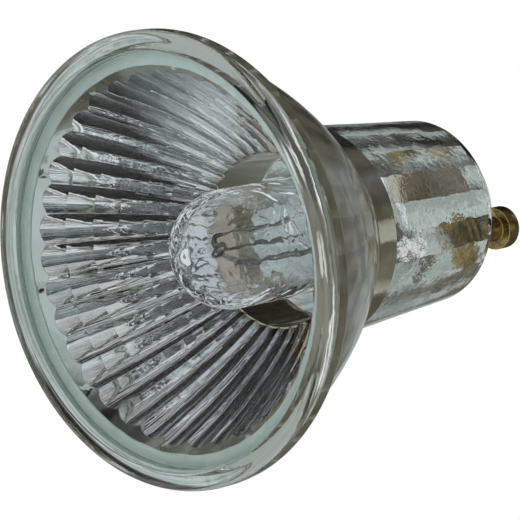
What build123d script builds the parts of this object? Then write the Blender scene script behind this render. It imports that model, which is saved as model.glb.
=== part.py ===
from build123d import *
import os
from math import cos, pi, radians, sin, sqrt, tan

# Reflector lamp with a twist-lock base, standing on its front rim: +Z runs from the
# front rim plane (z = 0) back to the pins, and the two pins lie on the X axis.
# All sizes are in millimetres.

# Pressed glass body: rim
rim_radius = 25.0
rim_thickness = 3.2
rim_rounding = 1.0
rim_back_step = 0.5
rim_land = 2.1

# Pressed glass body: outside of the bowl and of the base
bowl_length = 22.3
bowl_belly = 1.1
neck_outer_radius = 12.3
neck_fillet = 1.2
base_end_radius = 10.7
base_length = 25.1
base_bevel_height = 3.2
base_bevel_width = 2.5
end_wall = 2.5

# Pressed glass body: fluted mirror bowl
flute_count = 35
flute_depth = 0.5
flute_phase = 1.9
facet_zones = 7
flute_start = 0.1
ledge_width = 1.4
bowl_mouth_depth = 3.5
neck_wall = 2.5
neck_bore_lead = 2.9

# Pressed glass body: neck bore and faceted base cavity
neck_bore_length = 7.5
base_facet_count = 20
base_wall = 2.3

# Seat of the cover, with small pointed lugs on its bevel
cover_thickness = 1.5
cover_setback = 0.8
cover_edge_break = 0.15
cover_clearance = 0.1
bead_thickness = 0.25
bead_width = 1.5
seat_bevel_angle = 35.0
lug_count = 10
lug_phase = 24.7
lug_width = 1.1
lug_length = 1.6
lug_point_radius = 0.1

# Quartz capsule
capsule_radius = 6.65
capsule_wall = 0.9
capsule_tube_length = 14.0
capsule_shoulder = 3.2
exhaust_tip_radius = 1.1
exhaust_tip_height = 0.9
exhaust_nose_radius = 0.35
pinch_width = 11.6
pinch_thickness = 3.4
pinch_length = 8.0
pinch_rounding = 0.8

# Wires, foils and supports inside the capsule
lead_offset = 2.6
lead_radius = 0.35
lead_above_bridge = 3.4
bridge_radius = 1.3
bridge_overhang = 1.5
bridge_to_shoulder = 1.6
coil_radius = 0.6
coil_leg = 8.0
hook_wire_radius = 0.2
hook_clearance = 0.1
foil_width = 2.0
foil_thickness = 0.06
foil_length = 4.5
foil_inset = 2.0

# Outer leads, which carry the capsule from the pins, with the fuse and its sleeve
lead_reach = 6.7
outer_lead_radius = 0.4
wire_bend_radius = 1.5
ferrule_length = 1.8
ferrule_wall = 0.3
ferrule_to_bend = 0.1
fuse_radius = 0.15
sleeve_outer_radius = 0.75
sleeve_bore_radius = 0.35
sleeve_entry = 0.3
bend_drop = 1.2

# Brass contact pins and the washers under their rivet flares
pin_pitch = 10.0
pin_head_radius = 2.5
pin_head_height = 2.1
pin_head_rounding = 0.45
pin_neck_radius = 1.5
pin_standing = 7.3
pin_collar_radius = 2.2
pin_collar_height = 0.5
pin_shank_radius = 1.65
pin_hole_clearance = 0.05
pin_flare_radius = 2.3
pin_flare_height = 0.5
pin_bore_radius = 0.85
pin_cap_thickness = 2.7
washer_radius = 2.9
washer_thickness = 0.3

# Radii that follow from the sizes above
recess_radius = rim_radius - rim_land
cover_radius = recess_radius - cover_clearance
seat_inner_radius = cover_radius - bead_width
bowl_mouth_radius = seat_inner_radius - ledge_width
neck_bore_radius = neck_outer_radius - neck_wall

# Depths that follow, from the front rim back to the pins
cover_back = cover_setback + cover_thickness
seat_depth = cover_back + bead_thickness
base_start = bowl_length
neck_bore_start = base_start - neck_bore_lead
cavity_start = neck_bore_start + neck_bore_length
base_end = base_start + base_length
bevel_start = base_end - base_bevel_height
cavity_end = base_end - end_wall
washer_face = cavity_end - washer_thickness
pin_foot = washer_face - pin_flare_height
pin_top = base_end + pin_standing

# Fall of the squared radius of the flute ridges for each millimetre of depth
ridge_fall = (bowl_mouth_radius**2 - neck_bore_radius**2) / (neck_bore_start - bowl_mouth_depth)

# Depths inside, from the pins forward along the leads to the capsule
wire_end = pin_top - pin_cap_thickness
sleeve_end = pin_foot + sleeve_entry
bend_end = pin_foot - bend_drop
bend_start = bend_end - (pin_pitch / 2 - lead_offset)
ferrule_end = bend_start - wire_bend_radius * tan(pi / 8) - ferrule_to_bend
ferrule_start = ferrule_end - ferrule_length
ferrule_middle = (ferrule_start + ferrule_end) / 2
pinch_end = pin_foot - lead_reach
pinch_start = pinch_end - pinch_length
foil_start = pinch_start + foil_inset
foil_end = foil_start + foil_length
tube_end = pinch_start - capsule_shoulder
dome_center = tube_end - capsule_tube_length
bridge_depth = tube_end - bridge_to_shoulder
lead_tip = bridge_depth - lead_above_bridge
coil_bend_depth = lead_tip - coil_leg
coil_apex = coil_bend_depth - lead_offset

# Edges are picked by their radius and depth to within this
edge_match = 0.01


def revolved(points):
    """Solid of revolution about Z from a closed outline of (radius, depth) points."""
    outline = Polyline(*[(r, 0, z) for r, z in points], close=True)
    return revolve(make_face(outline), Axis.Z)


def round_bar(radius, start, end, x=0.0):
    """Round bar along Z between two depths."""
    return Pos(x, 0, start) * Cylinder(
        radius, end - start, align=(Align.CENTER, Align.CENTER, Align.MIN)
    )


def ridge_radius(depth):
    """Radius of the flute ridges: a paraboloid through the mouth and the neck bore."""
    return sqrt(neck_bore_radius**2 + ridge_fall * (neck_bore_start - depth))


def ridge_depth(radius):
    """Depth at which the flute ridges have a radius, on the same paraboloid."""
    return neck_bore_start - (radius**2 - neck_bore_radius**2) / ridge_fall


def fluted_section(ridge):
    """Face across the bowl: arcs that bulge outward between ridges of a radius."""
    swell = flute_depth * ridge / bowl_mouth_radius
    half_step = pi / flute_count
    arcs = []
    for i in range(flute_count):
        first = radians(flute_phase) + 2 * half_step * i
        corners = [(ridge * cos(t), ridge * sin(t)) for t in (first, first + 2 * half_step)]
        middle = ridge * cos(half_step) + swell
        crown = (middle * cos(first + half_step), middle * sin(first + half_step))
        arcs.append(ThreePointArc(corners[0], crown, corners[1]))
    return Pos(0, 0, ridge_depth(ridge)) * make_face(arcs)


def fluted_bowl():
    """Cavity of the mirror: straight facet zones, all as wide, between fluted sections."""
    mouth = ridge_radius(seat_depth + flute_start)
    step = (mouth - neck_bore_radius) / facet_zones
    sections = [fluted_section(mouth - step * i) for i in range(facet_zones + 1)]
    return loft(sections, ruled=True)


def base_cavity():
    """Tapered cavity of the base with flat facets all round."""
    rims = []
    for depth in (cavity_start, cavity_end):
        taper = (depth - base_start) / (bevel_start - base_start)
        outside = neck_outer_radius + (base_end_radius - neck_outer_radius) * taper
        rims.append(Pos(0, 0, depth) * RegularPolygon(outside - base_wall, base_facet_count))
    return loft(rims, ruled=True)


def glass_outside():
    """Outer form: rounded rim, bellied bowl, fillet at the neck, tapered base with bevel."""
    back_radius = rim_radius - rim_rounding - rim_back_step
    middle_depth = (rim_thickness + base_start) / 2
    middle_radius = (back_radius + neck_outer_radius) / 2
    run = base_start - rim_thickness
    fall = back_radius - neck_outer_radius
    slant = sqrt(run**2 + fall**2)
    belly = (middle_radius + bowl_belly * run / slant, middle_depth + bowl_belly * fall / slant)
    corners = [
        (0, 0),
        (rim_radius, 0),
        (rim_radius, rim_thickness),
        (back_radius, rim_thickness),
    ]
    start = [(r, 0, z) for r, z in corners]
    bowl = ThreePointArc(start[-1], (belly[0], 0, belly[1]), (neck_outer_radius, 0, base_start))
    tail = [
        (neck_outer_radius, 0, base_start),
        (base_end_radius, 0, bevel_start),
        (base_end_radius - base_bevel_width, 0, base_end),
        (0, 0, base_end),
        (0, 0, 0),
    ]
    outside = revolve(make_face([Polyline(*start), bowl, Polyline(*tail)]), Axis.Z)
    rim_edges = [
        e
        for e in outside.edges().filter_by(GeomType.CIRCLE)
        if abs(e.radius - rim_radius) < edge_match
    ]
    outside = fillet(rim_edges, rim_rounding)
    neck_edge = [
        e
        for e in outside.edges().filter_by(GeomType.CIRCLE)
        if abs(e.radius - neck_outer_radius) < edge_match
        and abs(e.center().Z - base_start) < edge_match
    ]
    return fillet(neck_edge, neck_fillet)


def bevel_lug():
    """Pointed drop of glass that lies down the seat's bevel, wide end at the seat."""
    drop = Cone(
        lug_width / 2, lug_point_radius, lug_length,
        align=(Align.CENTER, Align.CENTER, Align.MIN),
    )
    return Pos(seat_inner_radius, 0, seat_depth) * Rot(0, seat_bevel_angle - 90, 0) * drop


def glass_body():
    """Pressed glass reflector with its base in one piece."""
    bevel_reach = 2 * ledge_width
    bevel_end = seat_depth + bevel_reach * tan(radians(seat_bevel_angle))
    body = glass_outside()
    body -= revolved([
        (0, seat_depth),
        (seat_inner_radius, seat_depth),
        (seat_inner_radius - bevel_reach, bevel_end),
        (0, bevel_end),
    ])
    body -= fluted_bowl()
    for i in range(lug_count):
        body += Rot(0, 0, lug_phase + 360 / lug_count * i) * bevel_lug()
    body -= round_bar(recess_radius, 0, seat_depth)
    body -= round_bar(neck_bore_radius, neck_bore_start, cavity_start)
    body -= base_cavity()
    for side in (-1, 1):
        hole_radius = pin_shank_radius + pin_hole_clearance
        body -= round_bar(hole_radius, cavity_end, base_end, side * pin_pitch / 2)
    return body


def cover_glass():
    """Flat front disc with broken edges."""
    disc = round_bar(cover_radius, cover_setback, cover_back)
    return chamfer(disc.edges().filter_by(GeomType.CIRCLE), cover_edge_break)


def cover_bead():
    """Ring of clear adhesive between the cover and its seat."""
    ring = round_bar(cover_radius - cover_edge_break, cover_back, seat_depth)
    return ring - round_bar(seat_inner_radius, cover_back, seat_depth)


def pinch_block(start, end):
    """Flat press seal with rounded edges."""
    section = RectangleRounded(pinch_width, pinch_thickness, pinch_rounding)
    return extrude(Pos(0, 0, start) * section, end - start)


def capsule_form(radius, shoulder_width, shoulder_thickness, shoulder_end):
    """Domed tube that narrows to a flattened shoulder."""
    dome = Pos(0, 0, dome_center) * Sphere(radius)
    tube = round_bar(radius, dome_center, tube_end)
    flat = Pos(0, 0, shoulder_end) * Ellipse(shoulder_width / 2, shoulder_thickness / 2)
    shoulder = loft([Pos(0, 0, tube_end) * Circle(radius), flat])
    return dome + tube + shoulder


def capsule_envelope():
    """Hollow quartz capsule with exhaust tip and press seal, cleared for its wires."""
    bore = capsule_radius - capsule_wall
    hollow_end = pinch_start - capsule_wall
    body = capsule_form(capsule_radius, pinch_width, pinch_thickness, pinch_start)
    body += pinch_block(pinch_start, pinch_end)
    tip_depth = dome_center - capsule_radius
    tip_foot = tip_depth + capsule_wall / 2
    tip_nose = tip_depth - exhaust_tip_height
    body += revolved([
        (0, tip_nose),
        (exhaust_nose_radius, tip_nose),
        (exhaust_tip_radius, tip_foot),
        (0, tip_foot),
    ])
    hollow_width = pinch_width - 2 * capsule_wall
    hollow_thickness = pinch_thickness - 2 * capsule_wall
    body -= capsule_form(bore, hollow_width, hollow_thickness, hollow_end)
    for side in (-1, 1):
        x = side * lead_offset
        body -= round_bar(lead_radius, hollow_end - capsule_wall, foil_start, x)
        body -= seal_foil(side)
        body -= round_bar(outer_lead_radius, foil_end, pinch_end, x)
    return body


def seal_foil(side):
    """Thin molybdenum foil in the press seal."""
    return Pos(side * lead_offset, 0, (foil_start + foil_end) / 2) * Box(
        foil_width, foil_thickness, foil_length
    )


def inner_lead(side):
    """Wire from the foil up to one end of the filament."""
    return round_bar(lead_radius, lead_tip, foil_start, side * lead_offset)


def lead_bridge():
    """Quartz cross rod that carries both inner leads and the hook."""
    length = 2 * (lead_offset + bridge_overhang)
    rod = Pos(0, 0, bridge_depth) * Rot(0, 90, 0) * Cylinder(bridge_radius, length)
    for side in (-1, 1):
        rod -= round_bar(
            lead_radius, bridge_depth - 2 * bridge_radius, bridge_depth + 2 * bridge_radius,
            side * lead_offset,
        )
    return rod - round_bar(hook_wire_radius, bridge_depth - 2 * bridge_radius, bridge_depth)


def filament():
    """Coiled tungsten wire as its closed envelope: two legs and a bend over the top."""
    left = (-lead_offset, 0, lead_tip)
    right = (lead_offset, 0, lead_tip)
    left_bend = (-lead_offset, 0, coil_bend_depth)
    right_bend = (lead_offset, 0, coil_bend_depth)
    bend = ThreePointArc(left_bend, (0, 0, coil_apex), right_bend)
    path = Wire([Line(left, left_bend), bend, Line(right_bend, right)])
    return sweep(Plane(origin=left, z_dir=(0, 0, -1)) * Circle(coil_radius), path=path)


def filament_hook():
    """Support wire with a ring that holds the bend of the filament."""
    ring_radius = coil_radius + hook_clearance + hook_wire_radius
    ring = Pos(0, 0, coil_apex) * Rot(0, 90, 0) * Torus(ring_radius, hook_wire_radius)
    return ring + round_bar(hook_wire_radius, coil_apex + ring_radius, bridge_depth)


def wire_route(side, start, end):
    """Centre line from the press seal, across to the pin and along its bore."""
    x_lead = side * lead_offset
    x_pin = side * pin_pitch / 2
    points = [(x_lead, 0, start), (x_lead, 0, bend_start), (x_pin, 0, bend_end), (x_pin, 0, end)]
    return FilletPolyline(*points, radius=wire_bend_radius)


def round_wire(radius, side, start, end):
    """Round wire along the route."""
    seat = Plane(origin=(side * lead_offset, 0, start), z_dir=(0, 0, 1))
    return sweep(seat * Circle(radius), path=wire_route(side, start, end))


def fused_lead():
    """Short outer lead that ends inside the ferrule."""
    return round_bar(outer_lead_radius, foil_end, ferrule_middle, -lead_offset)


def ferrule():
    """Crimped tube that joins the short lead to the fuse wire."""
    tube = round_bar(outer_lead_radius + ferrule_wall, ferrule_start, ferrule_end, -lead_offset)
    tube -= round_bar(outer_lead_radius, ferrule_start, ferrule_middle, -lead_offset)
    return tube - round_bar(fuse_radius, ferrule_middle, ferrule_end, -lead_offset)


def fuse_sleeve():
    """Insulating tube threaded over the fuse wire, along its route."""
    path = wire_route(-1, ferrule_end, sleeve_end)
    seat = Plane(origin=(-lead_offset, 0, ferrule_end), z_dir=(0, 0, 1))
    ring = Circle(sleeve_outer_radius) - Circle(sleeve_bore_radius)
    return sweep(seat * ring, path=path)


def contact_pin(side):
    """Hollow brass pin: rivet flare, shank, collar, neck and twist-lock head."""
    head_start = pin_top - pin_head_height
    pin = revolved([
        (0, pin_foot),
        (pin_flare_radius, pin_foot),
        (pin_flare_radius, washer_face),
        (pin_shank_radius, washer_face),
        (pin_shank_radius, base_end),
        (pin_collar_radius, base_end),
        (pin_collar_radius, base_end + pin_collar_height),
        (pin_neck_radius, base_end + pin_collar_height),
        (pin_neck_radius, head_start),
        (pin_head_radius, head_start),
        (pin_head_radius, pin_top),
        (0, pin_top),
    ])
    nose = pin.edges().filter_by(GeomType.CIRCLE).sort_by(Axis.Z)[-1]
    pin = fillet(nose, pin_head_rounding)
    pin -= round_bar(pin_bore_radius, pin_foot, wire_end)
    return Pos(side * pin_pitch / 2, 0, 0) * pin


def rivet_washer(side):
    """Washer between the rivet flare and the end wall."""
    x = side * pin_pitch / 2
    hole = pin_shank_radius + pin_hole_clearance
    disc = round_bar(washer_radius, washer_face, cavity_end, x)
    return disc - round_bar(hole, washer_face, cavity_end, x)


nodes = {
    "glass_body": glass_body(),
    "cover_glass": cover_glass(),
    "cover_bead": cover_bead(),
    "capsule_envelope": capsule_envelope(),
    "filament": filament(),
    "filament_hook": filament_hook(),
    "lead_bridge": lead_bridge(),
    "inner_lead_1": inner_lead(-1),
    "inner_lead_2": inner_lead(1),
    "seal_foil_1": seal_foil(-1),
    "seal_foil_2": seal_foil(1),
    "outer_lead_1": fused_lead(),
    "outer_lead_2": round_wire(outer_lead_radius, 1, foil_end, wire_end),
    "lead_ferrule": ferrule(),
    "fuse_wire": round_wire(fuse_radius, -1, ferrule_middle, wire_end),
    "fuse_sleeve": fuse_sleeve(),
    "contact_pin_1": contact_pin(-1),
    "contact_pin_2": contact_pin(1),
    "rivet_washer_1": rivet_washer(-1),
    "rivet_washer_2": rivet_washer(1),
}

os.makedirs("parts", exist_ok=True)
for name, shape in nodes.items():
    export_step(shape, f"parts/{name}.step")
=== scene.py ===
"""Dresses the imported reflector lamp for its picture: pressed glass with a fluted mirror, quartz
capsule, tungsten coil and brass pins, on a plain floor under soft studio light."""
import bmesh
import bpy
import numpy as np
from math import cos, pi, radians, sin, sqrt, tan
from mathutils import Matrix, Vector, geometry, noise


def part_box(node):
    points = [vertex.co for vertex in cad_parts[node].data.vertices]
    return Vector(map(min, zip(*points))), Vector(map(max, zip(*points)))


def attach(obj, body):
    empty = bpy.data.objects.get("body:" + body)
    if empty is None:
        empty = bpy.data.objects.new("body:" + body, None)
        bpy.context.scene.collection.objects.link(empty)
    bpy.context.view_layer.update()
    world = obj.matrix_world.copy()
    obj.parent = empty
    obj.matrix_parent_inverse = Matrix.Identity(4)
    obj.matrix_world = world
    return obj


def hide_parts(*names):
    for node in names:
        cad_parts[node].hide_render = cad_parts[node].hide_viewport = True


bl_info = {
    "name": "Reflector Lamp",
    "version": (1, 0, 0),
    "blender": (4, 5, 0),
    "location": "3D View > Sidebar > Lamp",
    "description": "Builds the finish of a mains reflector lamp and the studio around it",
    "category": "Object",
}

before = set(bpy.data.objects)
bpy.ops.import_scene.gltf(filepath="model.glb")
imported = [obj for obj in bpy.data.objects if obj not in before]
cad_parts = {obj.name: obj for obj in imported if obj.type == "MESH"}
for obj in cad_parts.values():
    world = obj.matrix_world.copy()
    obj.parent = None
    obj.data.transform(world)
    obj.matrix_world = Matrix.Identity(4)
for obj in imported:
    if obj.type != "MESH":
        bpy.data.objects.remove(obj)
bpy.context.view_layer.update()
MM = 0.001
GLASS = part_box("glass_body")
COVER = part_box("cover_glass")
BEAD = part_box("cover_bead")
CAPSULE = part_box("capsule_envelope")
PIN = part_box("contact_pin_2")
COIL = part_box("filament")
BEAD_WIDTH = 1.5 * MM


# Properties: the sizes and colours that a user would change

def length(name, text, size):
    """Length property whose default is given in millimetres."""
    return bpy.props.FloatProperty(
        name=name, description=text, default=size * MM, unit="LENGTH", precision=5
    )


def angle(name, text, value):
    """Angle property whose default is given in degrees."""
    return bpy.props.FloatProperty(name=name, description=text, default=radians(value), subtype="ANGLE")


def count(name, text, value):
    """Whole number property."""
    return bpy.props.IntProperty(name=name, description=text, default=value, min=1)


def linear(code):
    """Linear colour of an sRGB hex code."""
    parts = [int(code[i:i + 2], 16) / 255 for i in (1, 3, 5)]
    return [c / 12.92 if c <= 0.04045 else ((c + 0.055) / 1.055) ** 2.4 for c in parts]


def colour(name, text, code):
    """Colour property whose default is an sRGB hex code."""
    return bpy.props.FloatVectorProperty(
        name=name, description=text, default=linear(code), subtype="COLOR", size=3, min=0, max=1
    )


class LampGlassSizes(bpy.types.PropertyGroup):
    rim_thickness: length("Rim thickness", "Depth of the rim's band", 3.2)
    rim_rounding: length("Rim rounding", "Radius of the rim's two edges", 1.0)
    rim_back_step: length("Rim step", "Step from the rim in to the bowl", 0.5)
    recess_gap: length("Recess gap", "Gap between the cover and the rim", 0.1)
    edge_rounding: length("Edge rounding", "Radius of the fire-polished small edges", 0.18)
    bowl_length: length("Bowl length", "Depth of the neck behind the front", 22.3)
    bowl_belly: length("Bowl belly", "Bulge of the bowl past a straight cone", 1.1)
    neck_radius: length("Neck radius", "Outer radius where bowl and base meet", 12.3)
    neck_fillet: length("Neck fillet", "Radius of the hollow at the neck", 1.2)
    base_end_radius: length("Base end radius", "Outer radius at the start of the bevel", 10.7)
    bevel_height: length("Bevel height", "Height of the bevel at the base's end", 3.2)
    bevel_width: length("Bevel width", "Width of the bevel at the base's end", 2.5)
    end_wall: length("End wall", "Thickness of the wall that carries the pins", 2.5)
    base_wall: length("Base wall", "Thickness of the base's side wall", 2.3)
    base_facets: count("Base facets", "Flats inside the base", 20)
    flute_count: count("Flutes", "Flutes of the mirror", 35)
    flute_depth: length("Flute depth", "Depth of a flute at the mouth", 0.5)
    flute_phase: angle("Flute phase", "Angle of the first ridge from +X", 1.9)
    facet_zones: count("Facet zones", "Straight steps along each flute", 7)
    mouth_radius: length("Mouth radius", "Ridge radius at the bowl's mouth", 19.9)
    mouth_depth: length("Mouth depth", "Depth of the bowl's mouth", 3.5)
    bore_radius: length("Bore radius", "Radius of the neck bore", 9.8)
    bore_start: length("Bore start", "Depth where the flutes end", 19.4)
    bore_length: length("Bore length", "Length of the mirrored bore", 7.5)
    seat_bevel: angle("Seat bevel", "Slope of the ledge inside the seat", 35)
    lug_count: count("Lugs", "Small drops of glass on the ledge", 10)
    lug_phase: angle("Lug phase", "Angle of the first lug from +X", 24.7)
    lug_width: length("Lug width", "Width of a lug at the seat", 1.1)
    lug_length: length("Lug length", "Length of a lug down the ledge", 1.6)
    corner_sway: angle("Corner sway", "How far the base's inner corners stray", 3.0)
    waviness: length("Waviness", "Height of the pressed glass's waves", 0.035)


class LampInnerSizes(bpy.types.PropertyGroup):
    capsule_wall: length("Capsule wall", "Thickness of the quartz", 0.9)
    capsule_shoulder: length("Shoulder", "Length from tube to press seal", 3.2)
    pinch_length: length("Press seal length", "Length of the flat seal", 8.0)
    pinch_thickness: length("Press seal thickness", "Thickness of the flat seal", 3.4)
    tip_radius: length("Tip radius", "Radius of the exhaust tip's foot", 1.1)
    tip_height: length("Tip height", "Height of the exhaust tip", 0.9)
    coil_wire: length("Coil wire", "Radius of the coiled wire", 0.045)
    coil_radius: length("Coil radius", "Radius over the wound coil", 0.32)
    coil_pitch: length("Coil pitch", "Distance from turn to turn", 0.22)
    pin_head_height: length("Pin head height", "Height of the twist-lock head", 2.1)
    pin_head_rounding: length("Pin head rounding", "Radius of the head's end", 0.45)
    pin_neck_radius: length("Pin neck radius", "Radius behind the head", 1.5)
    pin_collar_radius: length("Pin collar radius", "Radius of the collar at the glass", 2.2)
    pin_collar_height: length("Pin collar height", "Height of that collar", 0.5)
    pin_shank_radius: length("Pin shank radius", "Radius through the glass", 1.65)
    pin_hole_gap: length("Pin hole gap", "Clearance round the shank", 0.05)
    pin_flare_radius: length("Pin flare radius", "Radius of the riveted end", 2.3)
    pin_flare_height: length("Pin flare height", "Height of the riveted end", 0.5)
    pin_edge: length("Pin edge", "Radius of the pin's broken edges", 0.12)


class LampFinishes(bpy.types.PropertyGroup):
    glass: colour("Pressed glass", "Tint of the pressed glass", "#FBFDFC")
    glass_edge: colour("Glass edge", "Tint of glass seen through its edge", "#A9CFC2")
    mirror: colour("Mirror", "Aluminium film", "#F1F1F2")
    seal: colour("Seal", "Adhesive under the cover", "#EAF4F1")
    quartz: colour("Quartz", "Fused quartz", "#FBFBFD")
    tungsten: colour("Tungsten", "Coil and its support", "#A9A7A5")
    molybdenum: colour("Molybdenum", "Leads and foils", "#8F8C8A")
    brass: colour("Brass", "Turned brass", "#9F8D5C")
    brass_aged: colour("Aged brass", "Brown film in the brass's hollows", "#4D3B20")
    floor: colour("Floor", "Plain pale floor", "#F4F4F3")


# Mesh tools

def per_mm(size):
    """Texture scale, for coordinates in metres, of a pattern of that size in millimetres."""
    return 1 / (size * MM)


def linked(name, data):
    """New object for that data, in the scene."""
    made = bpy.data.objects.new(name, data)
    bpy.context.scene.collection.objects.link(made)
    return made


def make_object(name, mesh, *materials):
    """Object for a mesh, riding on the lamp's one body."""
    for material in materials:
        mesh.materials.append(material)
    made = linked(name, mesh)
    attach(made, "root")
    return made


def rounded(corners, steps=5):
    """Points (radius, depth) along a line whose corners (radius, depth, rounding) are arcs."""
    points = []
    for i, (r, z, rounding) in enumerate(corners):
        here = Vector((r, z))
        if rounding == 0 or i in (0, len(corners) - 1):
            points.append((r, z))
            continue
        back = (Vector(corners[i - 1][:2]) - here).normalized()
        on = (Vector(corners[i + 1][:2]) - here).normalized()
        half = back.angle(on) / 2
        centre = here + (back + on).normalized() * rounding / sin(half)
        first = here + back * rounding / tan(half) - centre
        last = here + on * rounding / tan(half) - centre
        turn = first.angle_signed(last)
        for k in range(steps + 1):
            points.append(tuple(centre + Matrix.Rotation(-turn * k / steps, 2) @ first))
    return points


def divided(points, longest):
    """The same line with its long runs cut into equal shorter ones."""
    line = [points[0]]
    for a, b in zip(points, points[1:]):
        pieces = max(1, int(np.ceil(np.hypot(b[0] - a[0], b[1] - a[1]) / longest)))
        for k in range(1, pieces + 1):
            line.append((a[0] + (b[0] - a[0]) * k / pieces, a[1] + (b[1] - a[1]) * k / pieces))
    return line


def rings_mesh(name, radius, depth, azimuth, closed_ends=False):
    """Smooth mesh of rings about Z: radius and depth hold one row for each ring."""
    rows, columns = radius.shape
    x = radius * np.cos(azimuth)
    y = radius * np.sin(azimuth)
    verts = np.stack([x, y, depth], axis=-1).reshape(-1, 3)
    faces = []
    for i in range(rows - 1):
        for j in range(columns):
            k = (j + 1) % columns
            faces.append((i * columns + j, i * columns + k, (i + 1) * columns + k, (i + 1) * columns + j))
    if closed_ends:
        faces.append(tuple(range(columns))[::-1])
        faces.append(tuple((rows - 1) * columns + j for j in range(columns)))
    mesh = bpy.data.meshes.new(name)
    mesh.from_pydata(verts.tolist(), [], faces)
    if closed_ends:
        face_outward(mesh)
    mesh.shade_smooth()
    return mesh


def face_outward(mesh):
    """Turns every face of a closed mesh to the outside."""
    build = bmesh.new()
    build.from_mesh(mesh)
    bmesh.ops.recalc_face_normals(build, faces=build.faces)
    build.to_mesh(mesh)
    build.free()


def turned(name, points, segments):
    """Mesh turned about Z from points (radius, depth) that start and end near the axis."""
    azimuth = np.linspace(0, 2 * pi, segments, endpoint=False)
    radius = np.repeat(np.array([[p[0]] for p in points]), segments, axis=1)
    depth = np.repeat(np.array([[p[1]] for p in points]), segments, axis=1)
    return rings_mesh(name, radius, depth, azimuth, closed_ends=True)


def plate_with_holes(ring, holes):
    """Vertices and triangles of a flat plate: a convex ring of (x, y) less round holes."""
    coords = [Vector(p) for p in ring]
    edges = [(i, (i + 1) % len(ring)) for i in range(len(ring))]
    for (cx, cy), hole_radius, segments in holes:
        start = len(coords)
        for k in range(segments):
            t = 2 * pi * k / segments
            coords.append(Vector((cx + hole_radius * cos(t), cy + hole_radius * sin(t))))
            edges.append((start + k, start + (k + 1) % segments))
    found = geometry.delaunay_2d_cdt(coords, edges, [], 0, 1e-9)
    order = [ids[0] for ids in found[3]]
    triangles = []
    for face in found[2]:
        middle = sum((found[0][i] for i in face), Vector((0, 0))) / len(face)
        if all((middle - Vector(c)).length > r * cos(pi / n) * 0.999 for c, r, n in holes):
            triangles.append([order[i] for i in face])
    return coords, triangles


def mark_sharp(mesh, test):
    """Makes sharp each edge whose two vertex numbers pass the test."""
    pairs = np.empty(len(mesh.edges) * 2, dtype=np.int32)
    mesh.edges.foreach_get("vertices", pairs)
    flags = test(*pairs.reshape(-1, 2).T)
    layer = mesh.attributes.get("sharp_edge") or mesh.attributes.new("sharp_edge", "BOOLEAN", "EDGE")
    layer.data.foreach_set("value", flags.astype(bool))


# Materials

def add_node(tree, kind, inputs=(), **settings):
    """Adds a node with its settings; an input is a constant or the socket that feeds it."""
    made = tree.nodes.new("ShaderNode" + kind)
    for key, value in settings.items():
        setattr(made, key, value)
    set_inputs(tree, made, dict(inputs))
    return made


def maths(tree, operation, *values):
    """Result of a math node."""
    return add_node(tree, "Math", dict(enumerate(values)), operation=operation).outputs[0]


def new_material(name):
    """Material with its tree, its Principled shader and its object coordinates."""
    material = bpy.data.materials.new(name)
    material.use_nodes = True
    tree = material.node_tree
    shader = tree.nodes["Principled BSDF"]
    place = add_node(tree, "TexCoord").outputs["Object"]
    return material, tree, shader, place


def bare_material(name):
    """Material with an empty tree, and its object coordinates."""
    material = bpy.data.materials.new(name)
    material.use_nodes = True
    tree = material.node_tree
    tree.nodes.clear()
    return material, tree, add_node(tree, "TexCoord").outputs["Object"]


def set_inputs(tree, node, inputs):
    """Sets or feeds a node's inputs by name or number."""
    for key, value in inputs.items():
        if isinstance(value, bpy.types.NodeSocket):
            tree.links.new(value, node.inputs[key])
        else:
            node.inputs[key].default_value = value


def rgba(value):
    """Colour with full alpha."""
    return (*value[:3], 1.0)


def mapped(tree, place, **more):
    """Coordinates, stretched or turned."""
    return add_node(tree, "Mapping", {"Vector": place, **more}).outputs["Vector"]


def noise_at(tree, place, size, detail=2.0, **more):
    """Noise of that grain size in millimetres."""
    inputs = {"Vector": place, "Scale": per_mm(size), "Detail": detail, **more}
    return add_node(tree, "TexNoise", inputs).outputs["Fac"]


def ramp(tree, value, low, high, to_low=0.0, to_high=1.0):
    """Maps a value from one range to another, clamped."""
    inputs = {"Value": value, "From Min": low, "From Max": high, "To Min": to_low, "To Max": to_high}
    return add_node(tree, "MapRange", inputs).outputs["Result"]


def mixed(tree, value, first, second):
    """Mix by a value of two colours: each a socket, a linear colour or an sRGB hex code."""
    made = add_node(tree, "Mix", data_type="RGBA")
    tree.links.new(value, made.inputs["Factor"])
    for socket, paint in ((made.inputs[6], first), (made.inputs[7], second)):
        if isinstance(paint, bpy.types.NodeSocket):
            tree.links.new(paint, socket)
        else:
            socket.default_value = rgba(linear(paint) if isinstance(paint, str) else paint)
    return made.outputs[2]


def bump(tree, height, depth_mm, **more):
    """Bump whose full height is that many millimetres."""
    inputs = {"Height": height, "Distance": depth_mm * MM, **more}
    return add_node(tree, "Bump", inputs).outputs["Normal"]


def even_out(tree, shader, longest, code):
    """Paints light that stays caught in thick glass as an even glow, where it would end black."""
    depth = add_node(tree, "LightPath").outputs["Ray Depth"]
    caught = maths(tree, "GREATER_THAN", depth, longest)
    glow = add_node(tree, "Emission", {"Color": rgba(linear(code))})
    mix = add_node(tree, "MixShader", {0: caught, 1: shader.outputs[0], 2: glow.outputs[0]})
    output = next(node for node in tree.nodes if node.type == "OUTPUT_MATERIAL")
    tree.links.new(mix.outputs[0], output.inputs["Surface"])


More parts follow.
